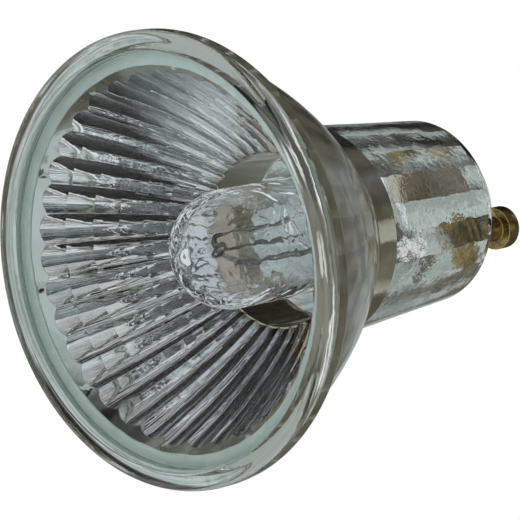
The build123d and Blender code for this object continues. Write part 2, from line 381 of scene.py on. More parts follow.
def pressed_glass(finishes):
    """Borosilicate glass, pressed in an iron mould: clear, with slow waves from the mould."""
    material, tree, shader, place = new_material("borosilicate_glass_pressed")
    waves = noise_at(tree, place, 3.2, 1.5)
    grain = noise_at(tree, place, 0.7, 2.0)
    along = add_node(tree, "SeparateXYZ", {0: place}).outputs["Z"]
    # In millimetres: rougher on the base, which the mirror film doesn't cover
    stipple = ramp(tree, along, 25.5 * MM, 28.5 * MM, 0.004, 0.03)
    rise = maths(tree, "MULTIPLY", grain, stipple)
    set_inputs(tree, shader, {
        "Base Color": mixed(tree, ramp(tree, waves, 0.35, 0.7), finishes.glass, "#F6FAF9"),
        "Transmission Weight": 1.0,
        "IOR": 1.48,
        "Roughness": ramp(tree, grain, 0.4, 0.75, 0.0, 0.05),
        "Normal": bump(tree, rise, 1.0, Normal=bump(tree, waves, 0.05)),
    })
    even_out(tree, shader, 9.0, "#9DA49E")
    return material


def mirror_film(finishes):
    """Aluminium, evaporated on to the glass: a bright mirror that keeps the mould's fine lines."""
    material, tree, shader, place = new_material("aluminium_film_evaporated")
    axes = add_node(tree, "SeparateXYZ", {0: place}).outputs
    around = maths(tree, "ARCTAN2", axes["Y"], axes["X"])
    lines = add_node(tree, "CombineXYZ", {"X": around, "Y": axes["Z"]}).outputs[0]
    # Coarser than the mould's real lines, which would be too fine to show
    grooves = noise_at(tree, mapped(tree, lines, Scale=(0.014, 0.05, 1)), 0.42, 1.0)
    waves = noise_at(tree, place, 1.8, 1.0)
    cloud = noise_at(tree, place, 6.0, 3.0)
    flutes_only = ramp(tree, axes["Z"], 18.5 * MM, 19.4 * MM, 1.0, 0.0)
    scored = maths(tree, "MULTIPLY", grooves, flutes_only)
    bright = mixed(tree, ramp(tree, cloud, 0.4, 0.75), finishes.mirror, "#E6E7E9")
    # Browner in the bore, as the photo shows it
    front = mixed(tree, flutes_only, "#B9AC9A", bright)
    back = mixed(tree, ramp(tree, cloud, 0.35, 0.7), "#DCD9D0", "#B4B0A6")
    behind = add_node(tree, "NewGeometry").outputs["Backfacing"]
    dull = ramp(tree, axes["Z"], 18.5 * MM, 20.5 * MM, 0.3, 0.04)
    set_inputs(tree, shader, {
        "Base Color": mixed(tree, behind, front, back),
        "Metallic": 1.0,
        "Roughness": ramp(tree, behind, 0.0, 1.0, 0.0, dull),
        "Normal": bump(tree, scored, 0.014, Normal=bump(tree, waves, 0.008)),
    })
    return material


def cover_glass():
    """Flat float glass: smooth, with a faint green cast."""
    material, tree, shader, place = new_material("float_glass_cut")
    waves = noise_at(tree, place, 14.0, 1.0)
    set_inputs(tree, shader, {
        "Base Color": mixed(tree, waves, "#FBFEFD", "#F8FCFB"),
        "Transmission Weight": 1.0,
        "IOR": 1.51,
        "Roughness": 0.0,
        "Normal": bump(tree, waves, 0.004),
    })
    return material


def cover_edge(finishes):
    """Ground edge of the float glass: pale green and matt, where light collects."""
    material, tree, shader, place = new_material("float_glass_ground_edge")
    grit = noise_at(tree, place, 0.25, 3.0)
    set_inputs(tree, shader, {
        "Base Color": mixed(tree, ramp(tree, grit, 0.35, 0.7), finishes.glass_edge, "#C8E0D8"),
        "Transmission Weight": 0.5,
        "IOR": 1.51,
        "Roughness": ramp(tree, grit, 0.3, 0.7, 0.25, 0.5),
        "Normal": bump(tree, grit, 0.02),
    })
    return material


def sealing_adhesive(finishes):
    """Silicone adhesive, laid as a bead and pressed flat: milky, pale green, with slow swirls."""
    material, tree, shader, place = new_material("silicone_adhesive_pressed")
    swirl = noise_at(tree, place, 2.4, 3.0, Distortion=1.2)
    set_inputs(tree, shader, {
        "Base Color": mixed(tree, ramp(tree, swirl, 0.3, 0.7), finishes.seal, "#D6E7E1"),
        "Roughness": ramp(tree, swirl, 0.3, 0.7, 0.25, 0.4),
        "IOR": 1.41,
        "Normal": bump(tree, swirl, 0.05),
    })
    return material


def fused_quartz(finishes):
    """Fused quartz, flame-worked: very clear, with the flame's soft ripples."""
    material, tree, shader, place = new_material("fused_quartz_flame_worked")
    ripples = noise_at(tree, place, 4.2, 1.0, Distortion=1.6)
    set_inputs(tree, shader, {
        "Base Color": mixed(tree, ripples, finishes.quartz, "#F2F4F8"),
        "Transmission Weight": 1.0,
        "IOR": 1.458,
        "Roughness": 0.0,
        "Normal": bump(tree, ripples, 0.16),
    })
    even_out(tree, shader, 8.0, "#E4EAEA")
    return material


def drawn_metal(name, first, second, rough, line_mm):
    """Drawn wire or rolled foil: fine lines along the piece and a soft shine."""
    material, tree, shader, place = new_material(name)
    lines = noise_at(tree, mapped(tree, place, Scale=(1, 1, 0.05)), line_mm)
    set_inputs(tree, shader, {
        "Base Color": mixed(tree, ramp(tree, lines, 0.3, 0.7), first, second),
        "Metallic": 1.0,
        "Roughness": ramp(tree, lines, 0.3, 0.7, rough * 0.8, rough * 1.3),
        "Normal": bump(tree, lines, 0.01),
    })
    return material


def turned_brass(finishes):
    """Free-cutting brass, turned: rings from the tool, with a brown film of age."""
    material, tree, shader, place = new_material("brass_turned_aged")
    rings = noise_at(tree, mapped(tree, place, Scale=(0.05, 0.05, 1)), 0.12)
    age = noise_at(tree, place, 1.3, 4.0, Distortion=0.6)
    set_inputs(tree, shader, {
        "Base Color": mixed(tree, ramp(tree, age, 0.42, 0.68), finishes.brass, finishes.brass_aged),
        "Metallic": 1.0,
        "Roughness": ramp(tree, age, 0.35, 0.7, 0.2, 0.42),
        "Normal": bump(tree, rings, 0.012),
    })
    return material


WAVES_PER_UNIT = 20  # of a Wave texture whose scale is 1


def braided_fibre():
    """Glass fibre, braided into a sleeve: off-white threads that cross in a diamond weave."""
    material, tree, shader, place = new_material("glass_fibre_braided")
    threads = [
        add_node(tree, "TexWave", {
            "Vector": mapped(tree, place, Rotation=(0, radians(tilt), 0)),
            "Scale": per_mm(0.3) / WAVES_PER_UNIT,
        }).outputs["Fac"]
        for tilt in (40, -40)
    ]
    weave = maths(tree, "MAXIMUM", *threads)
    set_inputs(tree, shader, {
        "Base Color": mixed(tree, weave, "#B9B09A", "#E8E3D4"),
        "Roughness": 0.7,
        "Normal": bump(tree, weave, 0.05),
    })
    return material


def drawn_tungsten(finishes):
    """Tungsten, drawn and coiled: dull grey wire with the die's lines."""
    return drawn_metal("tungsten_drawn", finishes.tungsten, "#8A8785", 0.35, 0.05)


def drawn_molybdenum(finishes):
    """Molybdenum, drawn or rolled: grey, a little brighter than the tungsten."""
    return drawn_metal("molybdenum_drawn", finishes.molybdenum, "#B0ACA8", 0.28, 0.06)


# The glass body

def flute_form(azimuth, sizes):
    """Radius of the fluted section over its ridge radius, for each azimuth."""
    half = pi / sizes.flute_count
    swell = sizes.flute_depth / sizes.mouth_radius
    crown = cos(half) + swell
    offset = (crown**2 - 1) / (2 * (crown - cos(half)))
    bend = crown - offset
    turn = (azimuth - sizes.flute_phase) % (2 * half) - half
    form = offset * np.cos(turn) + np.sqrt(bend**2 - (offset * np.sin(turn))**2)
    ridge_rounding = 0.0018
    return 1 + np.sqrt(np.maximum(form - 1, 0)**2 + ridge_rounding**2)


def zone_depths(sizes, top):
    """Depths where the straight facets of a flute meet: equal steps of radius."""
    drop = (sizes.mouth_radius**2 - sizes.bore_radius**2) / (sizes.bore_start - sizes.mouth_depth)
    first = sqrt(sizes.bore_radius**2 + drop * (sizes.bore_start - top))
    radii = np.linspace(first, sizes.bore_radius, sizes.facet_zones + 1)
    depths = sizes.bore_start - (radii**2 - sizes.bore_radius**2) / drop
    return depths, radii


def glass_azimuths(sizes):
    """Azimuths of the glass mesh: close together at each flute ridge, one at each base corner."""
    per_flute = 20
    step = 2 * pi / sizes.flute_count
    inside = (1 - np.cos(pi * np.arange(per_flute) / per_flute)) / 2
    flutes = [sizes.flute_phase + step * (i + t) for i in range(sizes.flute_count) for t in inside]
    corners = [2 * pi * k / sizes.base_facets for k in range(sizes.base_facets)]
    return np.array(sorted(a % (2 * pi) for a in flutes + corners)), np.array(corners)


def outside_line(sizes):
    """Outer profile from the end face down to the recess of the cover."""
    rim = GLASS[1].x
    end = GLASS[1].z
    recess = COVER[1].x + sizes.recess_gap
    back = rim - sizes.rim_rounding - sizes.rim_back_step
    middle = Vector(((back + sizes.neck_radius) / 2, (sizes.rim_thickness + sizes.bowl_length) / 2))
    run = Vector((back - sizes.neck_radius, sizes.rim_thickness - sizes.bowl_length))
    belly = middle + Vector((-run.y, run.x)).normalized() * sizes.bowl_belly
    start = Vector((sizes.neck_radius, sizes.bowl_length))
    stop = Vector((back, sizes.rim_thickness))
    bowl = []
    steps = 14
    for k in range(1, steps):
        t = k / steps
        chord = start.lerp(stop, t)
        bowl.append((*(chord + (belly - middle) * 4 * t * (1 - t)), 0))
    small = sizes.edge_rounding
    corners = [
        (sizes.base_end_radius - sizes.bevel_width - 2 * small, end, 0),
        (sizes.base_end_radius - sizes.bevel_width, end, small),
        (sizes.base_end_radius, end - sizes.bevel_height, 3 * small),
        (sizes.neck_radius, sizes.bowl_length, sizes.neck_fillet),
        *bowl,
        (back, sizes.rim_thickness, small),
        (rim, sizes.rim_thickness, sizes.rim_rounding),
        (rim, 0, sizes.rim_rounding),
        (recess, 0, small),
        (recess, BEAD[1].z, 0),
    ]
    return divided(rounded(corners), 1.3 * MM)


def glass_rings(sizes, azimuth):
    """Radius and depth of every ring of the glass body, with the mirrored and sharp rings."""
    flat = np.ones_like(azimuth)
    radius = []
    depth = []

    def add_ring(r, z):
        radius.append(r * flat)
        depth.append(z * flat)

    for r, z in outside_line(sizes):
        add_ring(r, z)
    seat_ring = len(radius) - 1
    seat_depth = BEAD[1].z
    seat_inner = COVER[1].x - BEAD_WIDTH
    form = flute_form(azimuth, sizes)
    depths, radii = zone_depths(sizes, seat_depth + 0.1 * MM)
    slope = sizes.seat_bevel
    low = np.zeros_like(azimuth)
    longest_ledge = 3.4 * MM
    high = np.full_like(azimuth, longest_ledge)
    halvings = 40
    for _ in range(halvings):
        middle = (low + high) / 2
        reach = seat_inner - middle * cos(slope)
        wall = np.interp(seat_depth + middle * sin(slope), depths, radii) * form
        low = np.where(reach > wall, middle, low)
        high = np.where(reach > wall, high, middle)
    ledge = (low + high) / 2
    lug_step = 2 * pi / sizes.lug_count
    off_lug = (azimuth - sizes.lug_phase + lug_step / 2) % lug_step - lug_step / 2
    bevel_rings = 10
    for k in range(bevel_rings + 1):
        down = ledge * k / bevel_rings
        r = seat_inner - down * cos(slope)
        z = seat_depth + down * sin(slope)
        cone = np.maximum(sizes.lug_width / 2 * (1 - down / sizes.lug_length), 0)
        height = np.sqrt(np.maximum(cone**2 - (off_lug * r)**2, 0)) * (k < bevel_rings)
        add_ring(r - height * sin(slope), np.maximum(z - height * cos(slope), seat_depth))
    arch_ring = len(radius) - 1
    arch = depth[-1]
    lip = 0.07 * MM
    add_ring(radius[-1] + lip * 0.15, arch + lip)
    sharp = {seat_ring, seat_ring + 1, arch_ring, arch_ring + 1}
    for zone in range(sizes.facet_zones):
        start = arch + lip if zone == 0 else depths[zone]
        for t in (0.5, 1.0):
            z = start + (depths[zone + 1] - start) * t
            add_ring(np.interp(z, depths, radii) * form, z)
        sharp.add(len(radius) - 1)
    ring_gap = 0.02 * MM
    for t in (0.0, 0.33, 0.66, 1.0):
        add_ring(sizes.bore_radius, sizes.bore_start + ring_gap + sizes.bore_length * t)
    bore_end = len(radius) - 1
    sharp.update((bore_end - 3, bore_end))
    corner = (azimuth % (2 * pi / sizes.base_facets)) - pi / sizes.base_facets
    polygon = cos(pi / sizes.base_facets) / np.cos(corner)
    cavity_start = sizes.bore_start + sizes.bore_length
    cavity_end = GLASS[1].z - sizes.end_wall
    bevel_start = GLASS[1].z - sizes.bevel_height
    cavity_first = cavity_start + 0.03 * MM
    cavity_rings = 14
    for k in range(cavity_rings + 1):
        z = cavity_first + (cavity_end - cavity_first) * k / cavity_rings
        taper = (z - sizes.bowl_length) / (bevel_start - sizes.bowl_length)
        outer = sizes.neck_radius + (sizes.base_end_radius - sizes.neck_radius) * taper
        add_ring((outer - sizes.base_wall) * polygon, z)
    sharp.update((bore_end + 1, len(radius) - 1))
    mirrored = range(arch_ring, bore_end)
    return np.array(radius), np.array(depth), mirrored, sharp, bore_end


def press_waves(radius, depth, azimuth, rings, sizes, inward):
    """Slow waves that pressing leaves on the given rings."""
    wave_mm = 4.5
    finer = 2.3
    for i in rings:
        for j, a in enumerate(azimuth):
            r = radius[i, j]
            spot = Vector((r * cos(a), r * sin(a), depth[i, j] * 0.5)) * per_mm(wave_mm)
            wave = noise.noise(spot) * 0.5 + noise.noise(spot * finer) * 0.25
            radius[i, j] -= inward * sizes.waviness * (wave + 0.5)


def corner_sway(depth, azimuth, rings, sizes):
    """Small turns that make the base's inner corners run unevenly."""
    turn = np.zeros_like(depth)
    facet = 2 * pi / sizes.base_facets
    sway_mm = 1.6
    apart = 7.0  # far enough in the noise for each corner to sway on its own
    for i in rings:
        here = depth[i, 0] * per_mm(sway_mm)
        strays = [noise.noise(Vector((here, apart * k, 0))) for k in range(sizes.base_facets)]
        sway = [stray * sizes.corner_sway for stray in strays]
        turn[i] = np.interp(azimuth / facet, np.arange(sizes.base_facets + 1), [*sway, sway[0]])
    return turn


class LAMP_OT_glass_body(bpy.types.Operator):
    """Builds the pressed glass body with its mirror film"""
    bl_idname = "lamp.glass_body"
    bl_label = "Glass body"

    def execute(self, context):
        sizes = context.scene.lamp_glass_sizes
        inner = context.scene.lamp_inner_sizes
        finishes = context.scene.lamp_finishes
        azimuth, corners = glass_azimuths(sizes)
        radius, depth, mirrored, sharp, bore_end = glass_rings(sizes, azimuth)
        outer_rings = 24
        side = [i for i in range(outer_rings) if depth[i, 0] > sizes.bowl_length]
        cavity = range(bore_end + 2, len(radius) - 1)
        press_waves(radius, depth, azimuth, side, sizes, 1)
        press_waves(radius, depth, azimuth, cavity, sizes, -2)
        turn = corner_sway(depth, azimuth, cavity, sizes)
        mesh = rings_mesh("reflector_glass", radius, depth, azimuth + turn)
        columns = len(azimuth)
        corner_columns = np.searchsorted(azimuth, corners)
        ring_faces = len(mesh.polygons)
        index = np.zeros(ring_faces, dtype=np.int32)
        for i in mirrored:
            index[i * columns:(i + 1) * columns] = 1

        def creased(a, b):
            row_a, row_b = a // columns, b // columns
            along = (row_a == row_b) & np.isin(row_a, list(sharp))
            across = (a % columns == b % columns) & np.isin(a % columns, corner_columns)
            return along | (across & (row_a > bore_end) & (row_b > bore_end))

        mark_sharp(mesh, creased)
        mesh.polygons.foreach_set("material_index", index)
        self.close_ends(mesh, radius, depth, azimuth, inner)
        made = make_object("reflector_glass", mesh, pressed_glass(finishes), mirror_film(finishes))
        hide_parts("glass_body")
        return {"FINISHED"}

    def close_ends(self, mesh, radius, depth, azimuth, inner):
        """Adds the end wall's two faces and the walls of its two pin holes."""
        hole_radius = inner.pin_shank_radius + inner.pin_hole_gap
        pitch = (PIN[0].x + PIN[1].x) / 2
        segments = 48
        holes = [((side * pitch, 0.0), hole_radius, segments) for side in (-1, 1)]
        columns = len(azimuth)
        build = bmesh.new()
        build.from_mesh(mesh)
        build.verts.ensure_lookup_table()
        hole_rings = []
        for row, flip in ((0, False), (len(radius) - 1, True)):
            ring = [(radius[row, j] * cos(a), radius[row, j] * sin(a)) for j, a in enumerate(azimuth)]
            coords, triangles = plate_with_holes(ring, holes)
            verts = [build.verts[row * columns + j] for j in range(columns)]
            verts += [build.verts.new((*p, depth[row, 0])) for p in coords[columns:]]
            build.verts.ensure_lookup_table()
            for t in triangles:
                face = [verts[i] for i in t]
                build.faces.new(face[::-1] if flip else face)
            hole_rings.append(verts[columns:])
        for h in range(len(holes)):
            top, bottom = (ring[h * segments:(h + 1) * segments] for ring in hole_rings)
            for k in range(segments):
                n = (k + 1) % segments
                face = build.faces.new((top[k], top[n], bottom[n], bottom[k]))
                face.smooth = True
            for ring in (top, bottom):
                for k in range(segments):
                    edge = build.edges.get((ring[k], ring[(k + 1) % segments]))
                    edge.smooth = False
        bmesh.ops.recalc_face_normals(build, faces=build.faces)
        build.to_mesh(mesh)
        build.free()


# The cover and its seal

class LAMP_OT_cover(bpy.types.Operator):
    """Builds the flat front glass and the adhesive that holds it"""
    bl_idname = "lamp.cover"
    bl_label = "Cover and seal"

    def execute(self, context):
        finishes = context.scene.lamp_finishes
        edge = 0.15 * MM
        middle = 0.01 * MM
        outer = COVER[1].x
        line = [(middle, COVER[1].z), (outer - edge, COVER[1].z), (outer, COVER[1].z - edge),
                (outer, COVER[0].z + edge), (outer - edge, COVER[0].z), (middle, COVER[0].z)]
        segments = 256
        mesh = turned("front_cover", line, segments)
        index = [int(1 <= i // segments <= 3) for i in range(len(mesh.polygons))]
        mesh.polygons.foreach_set("material_index", index)
        mark_sharp(mesh, lambda a, b: a // segments == b // segments)
        cover = make_object("front_cover", mesh, cover_glass(), cover_edge(finishes))
        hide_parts("cover_glass")
        self.make_seal(finishes)
        return {"FINISHED"}

    def make_seal(self, finishes):
        """Flat ring of adhesive with wavy edges, a hair clear of the glass above and below."""
        azimuth = np.linspace(0, 2 * pi, 360, endpoint=False)
        clear = 0.02 * MM
        low, high = BEAD[0].z + clear, BEAD[1].z - clear
        outer = BEAD[1].x - clear
        inner = outer - BEAD_WIDTH
        fineness, wave_mm = 9, 0.12
        wave = np.array([noise.noise(Vector((cos(a), sin(a), 0)) * fineness) for a in azimuth]) * wave_mm * MM
        bulge = 0.05 * MM
        middle = (low + high) / 2
        rows = [(inner + bulge, low, 1), (inner, middle, 1), (inner + bulge, high, 1),
                (outer - bulge, high, 0), (outer, middle, 0), (outer - bulge, low, 0),
                (inner + bulge, low, 1)]
        radius = np.array([r + wave * share for r, z, share in rows])
        depth = np.array([z + 0 * azimuth for r, z, share in rows])
        mesh = rings_mesh("pressed_seal", radius, depth, azimuth)
        face_outward(mesh)
        made = make_object("pressed_seal", mesh, sealing_adhesive(finishes))
        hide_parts("cover_bead")


def dress(name, material):
    """Gives a CAD node its material."""
    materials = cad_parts[name].data.materials
    materials.clear()
    materials.append(material)


# The capsule

# Rings that the closing flame leaves round the exhaust tip: height, step and how far out they go
SWIRL_HEIGHT = 0.035 * MM
SWIRL_STEP = 0.9 * MM
SWIRL_REACH = 1.9 * MM
PINCH_SHARE = 0.872  # of the tube's width, across the press seal


def capsule_rings(section, azimuth):
    """Rings of a capsule wall from (depth, half width, half thickness, squareness) rows."""
    radius = []
    depth = []
    for z, wide, thick, square in section:
        c = np.abs(np.cos(azimuth)) / wide
        s = np.abs(np.sin(azimuth)) / thick
        radius.append((c**square + s**square)**(-1 / square))
        depth.append(z * np.ones_like(azimuth))
    return np.array(radius), np.array(depth)


def capsule_section(sizes, inset, tip_radius, tip_height, end_depth, seal_end):
    """Rows of the capsule's outer wall, or of its inner one where inset is its thickness."""
    bore = CAPSULE[1].x - inset
    pinch_start = CAPSULE[1].z - sizes.pinch_length
    tube_end = pinch_start - sizes.capsule_shoulder
    dome = CAPSULE[0].z + sizes.tip_height + CAPSULE[1].x
    rows = []
    dome_steps, run_steps, close_steps = 28, 8, 6
    off_axis = 0.12
    for k in range(dome_steps + 1):
        t = (k + off_axis) / (dome_steps + off_axis) * pi / 2
        r = bore * sin(t)
        swirl = SWIRL_HEIGHT * cos(2 * pi * r / SWIRL_STEP) * max(0, 1 - r / SWIRL_REACH)
        tip = tip_height / (1 + (r / tip_radius)**2)**2 - swirl
        rows.append((dome - bore * cos(t) - tip, r, r, 2.0))
    for k in range(1, run_steps + 1):
        rows.append((dome + (tube_end - dome) * k / run_steps, bore, bore, 2.0))
    thick = sizes.pinch_thickness / 2 - inset
    pinch = CAPSULE[1].x * PINCH_SHARE - inset
    for k in range(1, run_steps + 1):
        t = k / run_steps
        ease = t * t * (3 - 2 * t)
        wide = bore + (pinch - bore) * ease
        z = tube_end + (end_depth - tube_end) * t
        rows.append((z, wide, bore + (thick - bore) * ease, 2 + 1.5 * ease))
    last = rows[-1]
    if seal_end:
        for z, shrink in (
            (end_depth + 0.6 * MM, 1), (seal_end - 0.5 * MM, 1),
            (seal_end - 0.15 * MM, 0.985), (seal_end, 0.95),
        ):
            rows.append((z, last[1] * shrink, last[2] * shrink, 5.0))
    else:
        for k in range(1, close_steps + 1):
            t = k / close_steps * pi / 2
            wide = last[1] - thick * (1 - cos(t))
            rows.append((end_depth + thick * sin(t), wide, max(last[2] * cos(t), 0.02 * MM), 3.5))
    return rows


class LAMP_OT_capsule(bpy.types.Operator):
    """Builds the quartz capsule with its inner wall, exhaust tip and press seal"""
    bl_idname = "lamp.capsule"
    bl_label = "Capsule"

    def execute(self, context):
        sizes = context.scene.lamp_inner_sizes
        finishes = context.scene.lamp_finishes
        azimuth = np.linspace(0, 2 * pi, 160, endpoint=False)
        pinch_start = CAPSULE[1].z - sizes.pinch_length
        outer = capsule_section(sizes, 0, sizes.tip_radius, sizes.tip_height, pinch_start, CAPSULE[1].z)
        inner = capsule_section(
            sizes, sizes.capsule_wall, sizes.tip_radius * 0.6, sizes.tip_height * 0.7,
            pinch_start - 1.5 * sizes.capsule_wall, 0,
        )
        wall = rings_mesh("quartz_capsule", *capsule_rings(outer, azimuth), azimuth, closed_ends=True)
        hollow = rings_mesh("capsule_hollow", *capsule_rings(inner, azimuth), azimuth, closed_ends=True)
        hollow.flip_normals()
        build = bmesh.new()
        build.from_mesh(wall)
        build.from_mesh(hollow)
        build.to_mesh(wall)
        build.free()
        bpy.data.meshes.remove(hollow)
        made = make_object("quartz_capsule", wall, fused_quartz(finishes))
        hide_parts("capsule_envelope")
        dress("lead_bridge", made.data.materials[0])
        return {"FINISHED"}


# The filament, its support and the leads

# From the solid that stands for the coil in to the coil's centre line
COIL_INSET = 0.6 * MM


def coil_course():
    """The centre line's distance from the axis, the top and foot of its legs and its length."""
    offset = (COIL[1].x - COIL[0].x) / 2 - COIL_INSET
    top = COIL[0].z + COIL_INSET + offset
    foot = COIL[1].z
    return offset, top, foot, 2 * (foot - top) + pi * offset


def coil_path(distance):
    """Point and direction on the coil's centre line at a distance along it."""
    offset, top, foot, _ = coil_course()
    leg = foot - top
    bend = pi * offset
    if distance < leg:
        return Vector((-offset, 0, foot - distance)), Vector((0, 0, -1))
    if distance < leg + bend:
        t = (distance - leg) / offset
        return Vector((-offset * cos(t), 0, top - offset * sin(t))), Vector((sin(t), 0, -cos(t)))
    return Vector((offset, 0, top + distance - leg - bend)), Vector((0, 0, 1))


class LAMP_OT_filament(bpy.types.Operator):
    """Winds the tungsten coil and finishes its support and leads"""
    bl_idname = "lamp.filament"
    bl_label = "Filament and leads"

    def execute(self, context):
        sizes = context.scene.lamp_inner_sizes
        finishes = context.scene.lamp_finishes
        total = coil_course()[3]
        turns = total / sizes.coil_pitch
        per_turn = 14
        winding = sizes.coil_radius - sizes.coil_wire
        curve = bpy.data.curves.new("tungsten_coil", "CURVE")
        curve.dimensions = "3D"
        curve.bevel_depth = sizes.coil_wire
        curve.bevel_resolution = 1
        curve.use_fill_caps = True
        spline = curve.splines.new("POLY")
        steps = int(turns * per_turn)
        spline.points.add(steps)
        for k in range(steps + 1):
            spot, along = coil_path(total * k / steps)
            turn = 2 * pi * k / per_turn
            out = Vector((along.z, 0, -along.x)) * cos(turn) + Vector((0, 1, 0)) * sin(turn)
            spline.points[k].co = (*(spot + out * winding), 1)
        holder = linked("coil_curve", curve)
        bpy.context.view_layer.update()
        mesh = bpy.data.meshes.new_from_object(holder.evaluated_get(context.evaluated_depsgraph_get()))
        mesh.name = "tungsten_coil"
        bpy.data.objects.remove(holder)
        mesh.materials.clear()
        mesh.shade_smooth()
        tungsten = drawn_tungsten(finishes)
        made = make_object("tungsten_coil", mesh, tungsten)
        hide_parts("filament")
        dress("filament_hook", tungsten)
        molybdenum = drawn_molybdenum(finishes)
        for kind in ("inner_lead", "seal_foil", "outer_lead"):
            for number in (1, 2):
                dress(f"{kind}_{number}", molybdenum)
        nickel = drawn_metal("nickel_plate_drawn", "#B5AFA3", "#CFCBC2", 0.22, 0.08)
        dress("lead_ferrule", nickel)
        alloy = drawn_metal("copper_nickel_drawn", "#A39C90", "#BDB7AC", 0.25, 0.05)
        dress("fuse_wire", alloy)
        dress("fuse_sleeve", braided_fibre())
        return {"FINISHED"}


# The pins

class LAMP_OT_pins(bpy.types.Operator):
    """Turns the two brass contact pins and finishes their washers"""
    bl_idname = "lamp.pins"
    bl_label = "Contact pins"

    def execute(self, context):
        sizes = context.scene.lamp_inner_sizes
        brass = turned_brass(context.scene.lamp_finishes)
        top = PIN[1].z
        foot = PIN[0].z
        glass_end = GLASS[1].z
        head = PIN[1].x - (PIN[0].x + PIN[1].x) / 2
        flare_top = foot + sizes.pin_flare_height
        edge = sizes.pin_edge
        middle = 0.02 * MM
        line = rounded([
            (middle, foot, 0),
            (sizes.pin_flare_radius, foot, edge),
            (sizes.pin_flare_radius, flare_top, edge),
            (sizes.pin_shank_radius, flare_top, 0),
            (sizes.pin_shank_radius, glass_end, 0),
            (sizes.pin_collar_radius, glass_end, edge),
            (sizes.pin_collar_radius, glass_end + sizes.pin_collar_height, edge),
            (sizes.pin_neck_radius, glass_end + sizes.pin_collar_height, edge),
            (sizes.pin_neck_radius, top - sizes.pin_head_height, edge),
            (head, top - sizes.pin_head_height, edge),
            (head, top, sizes.pin_head_rounding),
            (middle, top, 0),
        ], 4)
        for number, side in ((1, -1), (2, 1)):
            mesh = turned(f"brass_pin_{number}", line, 72)
            mesh.transform(Matrix.Translation((side * (PIN[0].x + PIN[1].x) / 2, 0, 0)))
            made = make_object(f"brass_pin_{number}", mesh, brass)
            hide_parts(f"contact_pin_{number}")
            dress(f"rivet_washer_{number}", brass)
        return {"FINISHED"}


# The stage

# The camera looks into the bowl from below the front plane, as the lamp was held for its picture:
# its distance in front of the rim's centre, the tilt of the lamp's axis from the line of sight,
# the roll of that axis and of the pins, and the focal length over the picture's width
CAMERA_DISTANCE = 350 * MM
CAMERA_TILT = radians(43.5)
CAMERA_ROLL = radians(-11.39)
CAMERA_OFFSET = (-11.118 * MM, 0.347 * MM)
PIN_ANGLE = radians(47.3)
FOCAL_WIDTHS = 3268 / 520
SENSOR_WIDTH = 36.0


def camera_axes():
    """The lamp's X, Y and Z axes as the camera sees them: right, down and away."""
    axis = Vector((
        sin(CAMERA_TILT) * cos(CAMERA_ROLL), sin(CAMERA_TILT) * sin(CAMERA_ROLL), cos(CAMERA_TILT),
    ))
    rise = Vector((
        cos(CAMERA_TILT) * cos(CAMERA_ROLL), cos(CAMERA_TILT) * sin(CAMERA_ROLL), -sin(CAMERA_TILT),
    ))
    across = Vector((-sin(CAMERA_ROLL), cos(CAMERA_ROLL), 0))
    x = rise * cos(PIN_ANGLE) + across * sin(PIN_ANGLE)
    y = across * cos(PIN_ANGLE) - rise * sin(PIN_ANGLE)
    return x, y, axis


def photographer_turn():
    """Rotation whose columns are the photographer's right, up and near."""
    x, y, z = camera_axes()
    right = Vector((x.x, y.x, z.x))
    up = -Vector((x.y, y.y, z.y))
    near = -Vector((x.z, y.z, z.z))
    return Matrix((right, up, near)).transposed()


# Openings and cards of the light tent, laid one over another: direction of the middle as the
# photographer sees it (right, up, near), radius and soft edge in degrees, colour. They were set
# against the one photo
TENT_CARDS = (
    ((0.0, -0.1, -1.0), 62, 8, "#BBC5C3"),
    ((0.05, 0.82, -0.57), 42, 5, "#6A6862"),
    ((0.1, 0.58, -0.81), 26, 3, "#201E1C"),
    ((0.95, -0.1, -0.25), 34, 6, "#7A786C"),
    ((0.95, -0.05, 0.25), 27, 3, "#6A685B"),
    ((0.7, 0.7, 0.1), 25, 3, "#55534D"),
    ((0.38, -0.53, -0.75), 22, 4, "#5E5A4F"),
    ((1.0, 0.03, 0.0), 8, 2, "#C4C8C0"),
    ((-0.45, -0.84, 0.3), 29, 2, "#2A251F"),
    ((-0.3, 0.32, 0.9), 37, 1, "#1A1613"),
    ((0.36, -0.08, 0.93), 23, 1, "#1A1613"),
    ((0.27, -0.62, 0.74), 14, 1, "#1A1613"),
    ((-0.985, -0.21, -0.02), 16, 3, "#1E1A16"),
    ((-0.942, 0.055, 0.25), 16.6, 0.7, "#D5ECEC"),
)


def lay_cards(tree, cards, toward, sway, cloth):
    """Mixes round cards over the cloth's colour."""
    shift = 0.02
    for middle, spread, edge, code in cards:
        near_it = add_node(tree, "VectorMath", {
            0: toward, 1: Vector(middle).normalized(),
        }, operation="DOT_PRODUCT").outputs["Value"]
        swayed = maths(tree, "MULTIPLY_ADD", sway, 2 * shift, near_it)
        outer, inner = cos(radians(spread + edge)) + shift, cos(radians(spread - edge)) + shift
        cloth = mixed(tree, ramp(tree, swayed, outer, inner), cloth, code)
    return cloth


